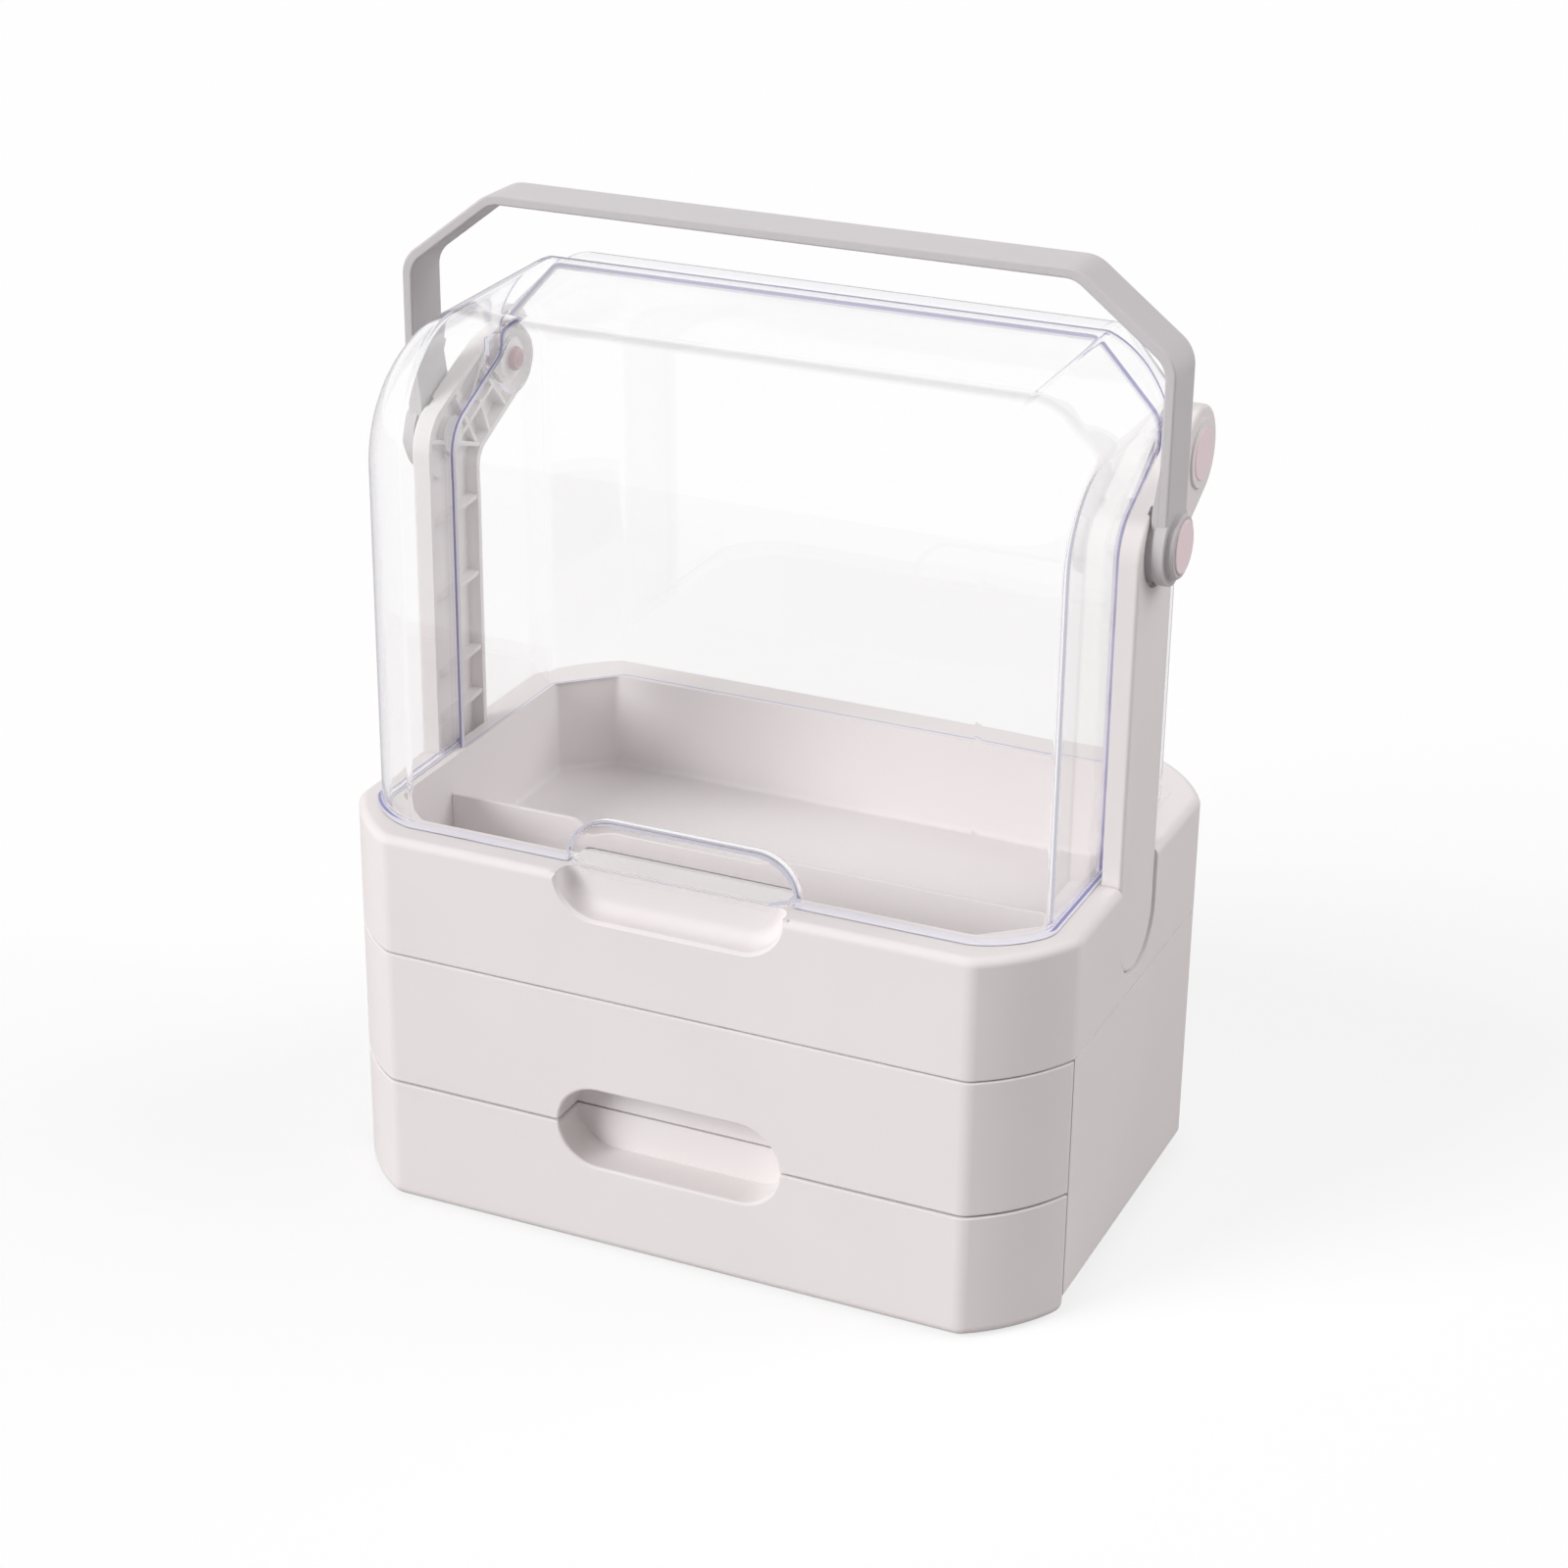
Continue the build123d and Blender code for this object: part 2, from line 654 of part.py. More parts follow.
def rear_hull(inset, low):
    """The rear cover's outside: an upright prism that ends in a barrel about the cover pivot."""
    x_end, x_fold = rear_half - inset, rear_half - rear_cut - 0.4 * inset
    r_end, r = rear_end_radius - 0.45 * inset, rear_radius - inset
    half = [(x_end, 0), (x_end, r_end), (x_fold, r)]
    outline = half + [(-x, d) for x, d in reversed(half)]
    barrel_plan = Plane(origin=(0, *cover_pivot)) * make_face(Polyline(*outline, close=True))
    barrel = revolve(barrel_plan, Axis((0, *cover_pivot), (1, 0, 0)), 360)
    front = seam_y - 20
    plan = [(x, d + cover_pivot[0]) for x, d in half[1:]]
    plan = [(x_end, front)] + plan + [(-x, y) for x, y in reversed(plan)] + [(-x_end, front)]
    prism = extrude(Pos(0, 0, low) * make_face(Polyline(*plan, close=True)), amount=cover_pivot[1] - low)
    return prism + barrel


def rear_cover():
    cover = rear_hull(0, rim_top) - rear_hull(rear_wall, rim_top - 1)
    cover -= ahead_of_seam(-rear_lap)
    cover = cover & box_between((-far, -far, rim_top), (far, far, far))
    for x in (-tab_x, tab_x):
        low = (x - tab_half, rear_y - rear_wall, rim_top - tab_reach)
        cover += box_between(low, (x + tab_half, rear_y, rim_top + 1))
    return cover


# ---- handle and pivot pins

leg_wedge = [(141.7, 291.0), (139.5, 275.0), (139.5, 263.0), (141.7, 263.0)]
cap_height = 1.1
hub_cap_x = 147.9
hub_cap_radius = 11.2
hub_cap_recess = 0.9
clip_radius = 5.0
hub_inner_radius = 13.2
pin_head = 1.5
cover_clip_x = (rear_half + 0.3, cover_half - 0.2)


def bail_plan(inset):
    """The handle seen from the front, moved in by inset."""
    rise = bail_top - bail_shoulder_z
    slant = atan2(rise, bail_half - bail_flat_half)
    half = bail_half - inset
    shoulder = bail_shoulder_z - inset * tan((pi / 2 - slant) / 2)
    flat = bail_flat_half - inset * tan(slant / 2)
    low = handle_pivot[1]
    side = [(half, low), (half, shoulder), (flat, bail_top - inset)]
    plan = make_face(Polyline(*side, *[(-x, z) for x, z in reversed(side)], close=True))
    bends = [v for v in plan.vertices() if v.Y > low + 1]
    return fillet(bends, bail_bend - inset * 0.6)


def handle():
    y_front = handle_pivot[0] - bail_width / 2
    placed = Plane(origin=(0, y_front, 0), x_dir=(1, 0, 0), z_dir=(0, -1, 0))
    band = placed * (bail_plan(0) - bail_plan(bail_wall))
    bail = extrude(band, amount=-bail_width)
    bail = fillet([e for e in bail.edges() if e.center().Z > handle_pivot[1] + 1], 0.9)
    wedge = extrude(placed * make_face(Polyline(*leg_wedge, close=True)), amount=-bail_width)
    bail += wedge
    bail += mirrored(wedge)
    hub = x_cylinder(hub_radius, bail_half - bail_wall, bail_half, handle_pivot)
    hub += x_cylinder(hub_inner_radius, arm_outer - hub_recess + 0.2, bail_half - bail_wall, handle_pivot)
    cap = x_cylinder(hub_cap_radius, bail_half, hub_cap_x, handle_pivot)
    cap = fillet(cap.faces().sort_by(Axis.X)[-1].edges(), 1.0)
    hub += cap
    hub -= x_cylinder(cap_radius + 0.1, hub_cap_x - hub_cap_recess, far, handle_pivot)
    bore = x_cylinder(handle_pin_radius + running_gap, arm_inner, far, handle_pivot)
    bail += hub
    bail += mirrored(hub)
    bail -= bore
    return bail - mirrored(bore)


def right_cover_pin():
    head = x_cylinder(cap_radius, arm_outer, arm_outer + cap_height, cover_pivot)
    head = fillet(head.faces().sort_by(Axis.X)[-1].edges(), 0.4)
    return head + x_cylinder(cover_pin_radius, cover_clip_x[0] + 0.1, arm_outer, cover_pivot)


def right_handle_pin():
    seat = hub_cap_x - hub_cap_recess
    head = x_cylinder(cap_radius, seat, seat + pin_head, handle_pivot)
    head = fillet(head.faces().sort_by(Axis.X)[-1].edges(), 0.4)
    tip = pin_boss_x + pin_skin + 2 * running_gap
    return head + x_cylinder(handle_pin_radius, tip, seat, handle_pivot)


def cover_pin_clips():
    ring = x_cylinder(clip_radius, *cover_clip_x, cover_pivot)
    ring -= x_cylinder(cover_pin_radius + running_gap, 0, far, cover_pivot)
    return Compound([ring, mirrored(ring)])


# ---- one file for each piece

pieces = {
    "casing_shell": casing_shell(),
    "middle_shelf": middle_shelf(),
    "rubber_feet": rubber_feet(),
    "lower_drawer_front": drawer_front(lower_front, lower_box, True),
    "lower_drawer_box": drawer_box(lower_box),
    "lower_drawer_screws": drawer_screws(lower_box),
    "upper_drawer_front": drawer_front(upper_front, upper_box, False),
    "upper_drawer_box": drawer_box(upper_box),
    "upper_drawer_screws": drawer_screws(upper_box),
    "tray_surround": tray_surround(),
    "tray_pan": tray_pan(),
    "tray_divider": tray_divider(),
    "tray_screws": tray_screws(),
    "right_arm": right_arm(),
    "left_arm": mirrored(right_arm()),
    "arm_screws": arm_screws(),
    "rear_cover": rear_cover(),
    "front_cover": front_cover(),
    "right_cover_pin": right_cover_pin(),
    "left_cover_pin": mirrored(right_cover_pin()),
    "cover_pin_clips": cover_pin_clips(),
    "handle": handle(),
    "right_handle_pin": right_handle_pin(),
    "left_handle_pin": mirrored(right_handle_pin()),
}

for name, piece in pieces.items():
    export_step(piece.moved(Pos(0, 0, lift)), f"parts/{name}.step")
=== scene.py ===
import json
import math

import bmesh
import bpy
from mathutils import Matrix, Vector


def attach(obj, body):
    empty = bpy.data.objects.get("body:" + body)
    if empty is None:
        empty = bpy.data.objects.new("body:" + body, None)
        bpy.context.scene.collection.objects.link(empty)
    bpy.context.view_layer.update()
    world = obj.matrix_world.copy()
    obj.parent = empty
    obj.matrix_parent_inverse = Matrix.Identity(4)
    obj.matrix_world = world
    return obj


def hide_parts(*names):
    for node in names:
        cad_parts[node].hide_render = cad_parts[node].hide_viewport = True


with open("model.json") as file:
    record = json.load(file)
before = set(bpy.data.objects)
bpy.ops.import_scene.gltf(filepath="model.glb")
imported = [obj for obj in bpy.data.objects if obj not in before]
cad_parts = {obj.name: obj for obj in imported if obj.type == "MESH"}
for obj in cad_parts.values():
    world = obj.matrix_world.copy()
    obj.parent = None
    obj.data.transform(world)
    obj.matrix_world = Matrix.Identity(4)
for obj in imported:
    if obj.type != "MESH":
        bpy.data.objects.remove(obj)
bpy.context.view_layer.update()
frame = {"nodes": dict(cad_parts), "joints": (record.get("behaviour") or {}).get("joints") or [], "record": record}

mm = 0.001
liftMm = 7.8             # heights in this file are measured from this far above the floor
hinge = next(joint for joint in frame["joints"] if joint["name"] == "cover_open")
pivotPlaces = 3          # decimals of a millimetre
coverPivot = (           # y and z of the front cover's hinge
    round(hinge["pos_m"][1] / mm, pivotPlaces),
    round(hinge["pos_m"][2] / mm - liftMm, pivotPlaces),
)


# camera first: the photograph's own view

cameraView = {
    "lensMm": 76.98,
    "azimuth": 24.15,        # degrees round to the right of straight in front
    "elevation": 24.0,
    "roll": 0.67,
    "distanceMm": 1226.7,
    "targetMm": (1.1, 0.0, 144.12),
    "nearestMm": 10.0,       # nothing nearer than this is drawn
}


def towards(azimuth, elevation):         # the direction of a camera or lamp seen from the case
    a, e = math.radians(azimuth), math.radians(elevation)
    return Vector((math.sin(a) * math.cos(e), -math.cos(a) * math.cos(e), math.sin(e)))


def makeCamera(view):
    a, roll = math.radians(view["azimuth"]), math.radians(view["roll"])
    back = towards(view["azimuth"], view["elevation"])
    level = Vector((math.cos(a), math.sin(a), 0))
    upright = back.cross(level)
    right = math.cos(roll) * level + math.sin(roll) * upright
    up = math.cos(roll) * upright - math.sin(roll) * level
    data = bpy.data.cameras.new("photoCamera")
    data.lens = view["lensMm"]
    data.clip_start = view["nearestMm"] * mm
    camera = bpy.data.objects.new("photoCamera", data)
    place = Matrix((right, up, back)).transposed().to_4x4()
    target = Vector(view["targetMm"]) + Vector((0, 0, liftMm))
    place.translation = (target + back * view["distanceMm"]) * mm
    camera.matrix_world = place
    bpy.context.scene.collection.objects.link(camera)
    bpy.context.scene.camera = camera


makeCamera(cameraView)
print("camera placed")


# materials

def linear(hexText):         # an sRGB hex colour as linear RGBA
    parts = [int(hexText[i:i + 2], 16) / 255 for i in (1, 3, 5)]
    return [c / 12.92 if c <= 0.04045 else ((c + 0.055) / 1.055) ** 2.4 for c in parts] + [1.0]


def addNode(tree, kind, links=None, **settings):
    # a link is named by its input's name, or by its number where two inputs share a name
    node = tree.nodes.new(kind)
    for name, value in settings.items():
        setattr(node, name, value)
    for name, value in (links or {}).items():
        socket = node.inputs[name]
        if isinstance(value, bpy.types.NodeSocket):
            tree.links.new(value, socket)
        else:
            socket.default_value = value
    return node


def startMaterial(name):
    material = bpy.data.materials.new(name)
    material.use_nodes = True
    material.node_tree.nodes.clear()
    return material, material.node_tree


paleLook = {
    "light": "#E9E5E5",
    "dark": "#E3DEDE",
    "roughness": (0.36, 0.48),
    "ior": 1.53,
    "grainMm": 0.9,          # spark-eroded grain is finer; drawn this coarse so that it shows
    "grainDetail": 3.0,
    "grainDepthMm": 0.012,
    "flowMm": 70.0,          # slow clouding where the melt flowed
    "flowDetail": 2.0,
}
roseLook = dict(paleLook, light="#F2DFE4", dark="#ECD9DE")
handleLook = dict(paleLook, light="#C8C5C7", dark="#C3C0C2")
clipLook = dict(paleLook, light="#A46C76", dark="#9C6670", roughness=(0.16, 0.24))
footLook = dict(paleLook, light="#CFCBC9", dark="#C6C2C0", roughness=(0.7, 0.85))


def mouldedSkin(name, look):
    # moulded ABS, or rubber for the feet: an even skin whose sheen breaks up in a fine grain
    material, tree = startMaterial(name)
    place = addNode(tree, "ShaderNodeTexCoord").outputs["Object"]
    flow = addNode(tree, "ShaderNodeTexNoise", {
        "Vector": place,
        "Scale": 1 / (look["flowMm"] * mm),
        "Detail": look["flowDetail"],
    })
    grain = addNode(tree, "ShaderNodeTexNoise", {
        "Vector": place,
        "Scale": 1 / (look["grainMm"] * mm),
        "Detail": look["grainDetail"],
    })
    colour = addNode(tree, "ShaderNodeMix", {
        "Factor": flow.outputs["Fac"],
        "A": linear(look["light"]),
        "B": linear(look["dark"]),
    }, data_type="RGBA")
    sheen = addNode(tree, "ShaderNodeMapRange", {
        "Value": grain.outputs["Fac"],
        "To Min": look["roughness"][0],
        "To Max": look["roughness"][1],
    })
    bump = addNode(tree, "ShaderNodeBump", {
        "Height": grain.outputs["Fac"],
        "Distance": look["grainDepthMm"] * mm,
    })
    skin = addNode(tree, "ShaderNodeBsdfPrincipled", {
        "Base Color": colour.outputs["Result"],
        "Roughness": sheen.outputs["Result"],
        "Normal": bump.outputs["Normal"],
        "IOR": look["ior"],
    })
    addNode(tree, "ShaderNodeOutputMaterial", {"Surface": skin.outputs["BSDF"]})
    return material


styrene = {
    "tint": "#FFFFFF",
    "roughness": 0.015,
    "ior": 1.53,
    "shadowTint": "#FEFEFE",
    "rim": "#8684BA",        # painted: this opaque violet-blue on the cut edge stands for the styrene's own tint over a long path and for the glow of light piped along the wall
    # a painted highlight: the pale opaque inner part of the cut edge
    "rimInner": "#E4E2EC",
    "rimRoughness": 0.3,
    "rimShare": 0.45,        # the part of the wall's thickness painted violet, from its outside
    "topShare": 0.6,         # the same along the top edge
    "deepBounces": 2.5,      # a ray turned back inside the wall more often ends in a painted glow
    # the colour of that painted glow
    "deep": "#C9C7D4",
}


def clearStyrene(name, look):
    # gloss-moulded clear styrene: nearly unseen face on, bright where it turns. A ray turned back inside the wall
    # too often ends in a painted glow.
    material, tree = startMaterial(name)
    body = addNode(tree, "ShaderNodeBsdfPrincipled", {
        "Base Color": linear(look["tint"]),
        "Roughness": look["roughness"],
        "IOR": look["ior"],
        "Transmission Weight": 1.0,
    })
    through = addNode(tree, "ShaderNodeBsdfTransparent", {"Color": linear(look["shadowTint"])})
    # painted glow: an emission that stands in for light turned back and forth inside the wall
    paintedGlow = addNode(tree, "ShaderNodeEmission", {"Color": linear(look["deep"])})
    path = addNode(tree, "ShaderNodeLightPath")
    straight = addNode(tree, "ShaderNodeMath", {     # rays that light what stands inside pass unbent
        0: path.outputs["Is Shadow Ray"],
        1: path.outputs["Is Diffuse Ray"],
    }, operation="MAXIMUM")
    mix = addNode(tree, "ShaderNodeMixShader", {
        "Fac": straight.outputs["Value"],
        1: body.outputs["BSDF"],
        2: through.outputs["BSDF"],
    })
    deep = addNode(tree, "ShaderNodeMath", {
        0: path.outputs["Glossy Depth"],
        1: look["deepBounces"],
    }, operation="GREATER_THAN")
    ended = addNode(tree, "ShaderNodeMixShader", {
        "Fac": deep.outputs["Value"],
        1: mix.outputs["Shader"],
        2: paintedGlow.outputs["Emission"],
    })
    addNode(tree, "ShaderNodeOutputMaterial", {"Surface": ended.outputs["Shader"]})
    return material


def cutStyrene(name, look, colour):
    # the same styrene where its wall ends, as an opaque skin whose colour is painted: a violet for the styrene's
    # tint and the glow of light piped along the wall, or a pale painted highlight
    material, tree = startMaterial(name)
    skin = addNode(tree, "ShaderNodeBsdfPrincipled", {
        "Base Color": linear(colour),
        "Roughness": look["rimRoughness"],
        "IOR": look["ior"],
    })
    addNode(tree, "ShaderNodeOutputMaterial", {"Surface": skin.outputs["BSDF"]})
    return material


zinc = {
    "tint": "#B9B7B0",
    "roughness": (0.22, 0.4),
    "grainMm": 0.4,
    "grainDetail": 4.0,
}


def zincPlate(name, look):
    # bright zinc plate on steel: cool grey metal, a little uneven in its shine
    material, tree = startMaterial(name)
    place = addNode(tree, "ShaderNodeTexCoord").outputs["Object"]
    grain = addNode(tree, "ShaderNodeTexNoise", {
        "Vector": place,
        "Scale": 1 / (look["grainMm"] * mm),
        "Detail": look["grainDetail"],
    })
    shine = addNode(tree, "ShaderNodeMapRange", {
        "Value": grain.outputs["Fac"],
        "To Min": look["roughness"][0],
        "To Max": look["roughness"][1],
    })
    skin = addNode(tree, "ShaderNodeBsdfPrincipled", {
        "Base Color": linear(look["tint"]),
        "Metallic": 1.0,
        "Roughness": shine.outputs["Result"],
    })
    addNode(tree, "ShaderNodeOutputMaterial", {"Surface": skin.outputs["BSDF"]})
    return material


paleAbs = mouldedSkin("mouldedAbs", paleLook)
roseAbs = mouldedSkin("roseAbs", roseLook)
handleAbs = mouldedSkin("handleAbs", handleLook)
clipAbs = mouldedSkin("clipAbs", clipLook)
clearPlastic = clearStyrene("clearStyrene", styrene)
rimTintGlowPlastic = cutStyrene("styreneRimTintAndPaintedGlow", styrene, styrene["rim"])
rimPaintedHighlightPlastic = cutStyrene("styreneRimPaintedHighlight", styrene, styrene["rimInner"])
coverSkins = [clearPlastic, rimTintGlowPlastic, rimPaintedHighlightPlastic]
slotMaterials = {
    "pale_plastic": paleAbs,
    "clear_plastic": clearPlastic,
    "rose_plastic": roseAbs,
    "zinc_steel": zincPlate("zincPlatedSteel", zinc),
    "foot_rubber": mouldedSkin("footRubber", footLook),
}
nodeMaterials = {"handle": handleAbs}    # nodes whose colour differs from their slot's


def dressNodes():
    for part in frame["record"]["subparts"]:
        name = part["node"]
        material = nodeMaterials.get(name, slotMaterials[part["material_slot"]])
        for slot in frame["nodes"][name].material_slots:
            slot.material = material


dressNodes()
print("materials made")


# mesh helpers: every shape is written in millimetres and scaled once

def meshPiece(name, bm, materials, mergeMm=0.001):
    bmesh.ops.remove_doubles(bm, verts=bm.verts, dist=mergeMm)
    bmesh.ops.recalc_face_normals(bm, faces=bm.faces)
    bmesh.ops.translate(bm, vec=(0, 0, liftMm), verts=bm.verts)
    bmesh.ops.scale(bm, vec=(mm, mm, mm), verts=bm.verts)
    mesh = bpy.data.meshes.new(name)
    bm.to_mesh(mesh)
    bm.free()
    for material in materials:
        mesh.materials.append(material)
    piece = bpy.data.objects.new(name, mesh)
    bpy.context.scene.collection.objects.link(piece)
    return piece


def gridFaces(bm, rows, material=0, closed=False):
    made = [[bm.verts.new(p) for p in row] for row in rows]
    for a, b in zip(made, made[1:]):
        count = len(a) if closed else len(a) - 1
        for j in range(count):
            k = (j + 1) % len(a)
            face = bm.faces.new((a[j], a[k], b[k], b[j]))
            face.material_index = material
    return made


def addLoft(bm, sections):               # closed outlines joined in turn, capped at both ends
    made = gridFaces(bm, sections, closed=True)
    for ring in (made[0], made[-1]):
        bm.faces.new(ring)


def loftPiece(name, sections, materials):
    bm = bmesh.new()
    addLoft(bm, sections)
    return meshPiece(name, bm, materials)


def shellPiece(name, outer, inner, look, materials):
    # two grids a wall apart, closed round their edges; the edges' outer share takes the second
    # material and the rest the third
    bm = bmesh.new()
    gridFaces(bm, outer)
    gridFaces(bm, inner)
    edges = [(outer[0], inner[0], look["rimShare"]), (outer[-1], inner[-1], look["topShare"])]
    for end in (0, -1):
        edges.append(([row[end] for row in outer], [row[end] for row in inner], look["rimShare"]))
    for near, off, share in edges:
        between = [Vector(a).lerp(Vector(b), share) for a, b in zip(near, off)]
        gridFaces(bm, [near, between], 1)
        gridFaces(bm, [between, off], 2)
    return meshPiece(name, bm, materials)


def freeze(piece):                       # apply the modifiers
    view = bpy.context.evaluated_depsgraph_get()
    result = bpy.data.meshes.new_from_object(piece.evaluated_get(view))
    piece.modifiers.clear()
    piece.data = result


def combine(piece, other, operation):
    modifier = piece.modifiers.new("combine", "BOOLEAN")
    modifier.operation = operation
    modifier.solver = "EXACT"
    modifier.object = other
    freeze(piece)
    bpy.data.objects.remove(other)


def soften(piece, widthMm, angle=35, segments=2):
    # round every sharp edge, then let only the large faces set the shading
    bevel = piece.modifiers.new("bevel", "BEVEL")
    bevel.width = widthMm * mm
    bevel.segments = segments
    bevel.limit_method = "ANGLE"
    bevel.angle_limit = math.radians(angle)
    bevel.miter_outer = "MITER_ARC"
    freeze(piece)
    piece.data.shade_smooth()
    weighted = piece.modifiers.new("weighted", "WEIGHTED_NORMAL")
    weighted.keep_sharp = True
    freeze(piece)


def arcPoints(centre, radius, first, last, count):
    angles = [first + (last - first) * i / count for i in range(count + 1)]
    return [(centre[0] + radius * math.cos(a), centre[1] + radius * math.sin(a)) for a in angles]


def circlePoints(centre, radius, count):
    return arcPoints(centre, radius, 0, 2 * math.pi, count)[:-1]


def roundedPath(points, radii, count=6):
    # a polyline with its inner corners rounded
    path = [Vector(points[0])]
    for i in range(1, len(points) - 1):
        here = Vector(points[i])
        before = (Vector(points[i - 1]) - here).normalized()
        after = (Vector(points[i + 1]) - here).normalized()
        half = before.angle(after) / 2
        reach = radii[i - 1] / math.tan(half)
        centre = here + (before + after).normalized() * radii[i - 1] / math.sin(half)
        start, end = here + before * reach, here + after * reach
        for k in range(count + 1):
            chord = start.lerp(end, k / count) - centre
            path.append(centre + chord.normalized() * radii[i - 1])
    path.append(Vector(points[-1]))
    return path


def stretches(path):         # the length of each of a path's straight pieces
    return [(b - a).length for a, b in zip(path, path[1:])]


def alongPath(path, distance):
    for a, b, length in zip(path, path[1:], stretches(path)):
        if distance <= length:
            return a.lerp(b, distance / length)
        distance -= length
    return path[-1]


def bothSides(half):         # a row of the right half, mirrored to run from the left edge
    return [(-x, y, z) for x, y, z in reversed(half[1:])] + half


def atX(x, outline):         # an outline of (y, z) stood up at x
    return [(x, y, z) for y, z in outline]


# front cover

frontCover = {
    "halfWidth": 129.5,
    "frontY": -84.0,
    "wall": 2.2,
    "cornerCut": (22.2, 18.0),   # what the corner takes off the front and off the side
    "cornerBulge": 3.1,          # how far the corner's face bows out
    "foldBlend": 8.0,            # radius of the folds beside it
    "base": 140.3,
    "ridge": (28.6, 322.0),      # y and z of the cover's rear top edge
    "roofSlope": 0.03,
    "shoulder": (46.0, 32.0),    # shoulder radius on the front and at the sides
    "sideDrop": 23.5,            # how far the roof falls from the ridge to the sides
    "seam": ((-10.5, 140.3), (-10.5, 264.0), (28.6, 284.0)),     # the side's rear edge, y and z
    "seamRounding": (16.0, 5.0),
    "flange": 1.6,
    "flangeTop": 142.2,
    "flangeShape": (             # share of the flange's height, and how far out it stands there
        (0, 0.75), (0.12, 0.93), (0.3, 1), (0.75, 1), (0.9, 0.9), (1, 0.7), (1.08, 0.25), (1.4, 0),
    ),
    "wallLevels": (155, 180, 210, 240, 255),     # heights of the grid's rows on the upright wall
    "arcSteps": 24,
    "roofSteps": 5,
    "edgeRounding": 0.45,
}


def cornerCurve(spec, inset, frontSteps=3, foldSteps=4, cornerSteps=10, sideSteps=5):
    # plan of the right half as (x, depth): front, blend, shallow corner arc, blend
    cutX, cutY = spec["cornerCut"]
    chord = math.hypot(cutX, cutY)
    radius = (chord ** 2 / 4 + spec["cornerBulge"] ** 2) / (2 * spec["cornerBulge"])
    reach = radius - spec["cornerBulge"]
    centre = (spec["halfWidth"] - cutX / 2 - reach * cutY / chord, cutY / 2 + reach * cutX / chord)
    r, blend = radius - inset, spec["foldBlend"] - inset
    frontD = inset + blend
    frontX = centre[0] + math.sqrt((r - blend) ** 2 - (centre[1] - frontD) ** 2)
    sideX = spec["halfWidth"] - inset - blend
    sideD = centre[1] - math.sqrt((r - blend) ** 2 - (sideX - centre[0]) ** 2)
    first = math.atan2(frontD - centre[1], frontX - centre[0])
    last = math.atan2(sideD - centre[1], sideX - centre[0])
    curve = [(frontX * i / frontSteps, inset) for i in range(frontSteps)]
    curve += arcPoints((frontX, frontD), blend, -math.pi / 2, first, foldSteps)[:-1]
    curve += arcPoints(centre, r, first, last, cornerSteps)[:-1]
    return curve + arcPoints((sideX, sideD), blend, last, 0, sideSteps)


def frontProfile(spec, depth, stage, value):
    # a point of the side outline whose front face stands depth behind the foremost; value is a
    # height on the wall, and a share of the way along the arc or the roof
    share = depth / spec["cornerCut"][1]
    slope = spec["roofSlope"] * (1 - share)
    ridgeY, ridgeZ = spec["ridge"]
    top = ridgeZ - spec["sideDrop"] * share
    radius = spec["shoulder"][0] + (spec["shoulder"][1] - spec["shoulder"][0]) * share
    lean = math.atan2(1, -slope)
    front = spec["frontY"] + depth
    centre = (front + radius, top - radius / math.sin(lean) - (ridgeY - front - radius) * slope)
    if stage == "wall":
        return front, value
    if stage == "arc":
        angle = math.pi + (lean - math.pi) * value
        return centre[0] + radius * math.cos(angle), centre[1] + radius * math.sin(angle)
    startY, startZ = centre[0] + radius * math.cos(lean), centre[1] + radius * math.sin(lean)
    y = startY + (ridgeY - startY) * value
    return y, startZ + (y - startY) * slope


def frontCoverGrid(spec, wall):
    # rows run from the foot up and over to the ridge, columns from seam to seam
    base, wallLevels = spec["base"], spec["wallLevels"]
    step = spec["flangeTop"] - base
    rows = [("wall", base + step * rise, -spec["flange"] * out) for rise, out in spec["flangeShape"]]
    rows += [("wall", z, 0) for z in wallLevels]
    upper = [("arc", i / spec["arcSteps"], 0) for i in range(spec["arcSteps"] + 1)]
    upper += [("roof", i / spec["roofSteps"], 0) for i in range(1, spec["roofSteps"] + 1)]
    lastDepth = cornerCurve(spec, 0)[-1][1]
    endTop = frontProfile(spec, lastDepth, "roof", 1)[1]
    seamPath = roundedPath(list(spec["seam"]) + [(spec["ridge"][0], endTop)], spec["seamRounding"])
    turn = wallLevels[-1] - base
    overTop = sum(stretches(seamPath)) - turn
    grid = []
    for i, (stage, value, out) in enumerate(rows + upper):
        inset = wall if wall else out
        half = []
        for x, depth in cornerCurve(spec, inset):
            half.append((x, *frontProfile(spec, depth, stage, value)))
        if stage == "wall":
            seam = (spec["seam"][0][0], value)
        else:
            seam = alongPath(seamPath, turn + overTop * (i - len(rows) + 1) / len(upper))
        half.append((spec["halfWidth"] - inset, seam[0], seam[1]))
        grid.append(bothSides(half))
    return grid


pull = {
    "halfWidth": 43.3,
    "radius": 15.6,
    "wall": 1.8,
    "depth": 9.0,
    "rounding": 6.0,
    "arcSteps": 14,
    "roundingSteps": 5,
    "blockInset": 1.0,       # the pocket's wall starts this far behind the cover's face
    "cutReach": 20.0,        # the cutter stands this far in front of the cover
    "cutDrop": 5.0,          # and this far below its base
}


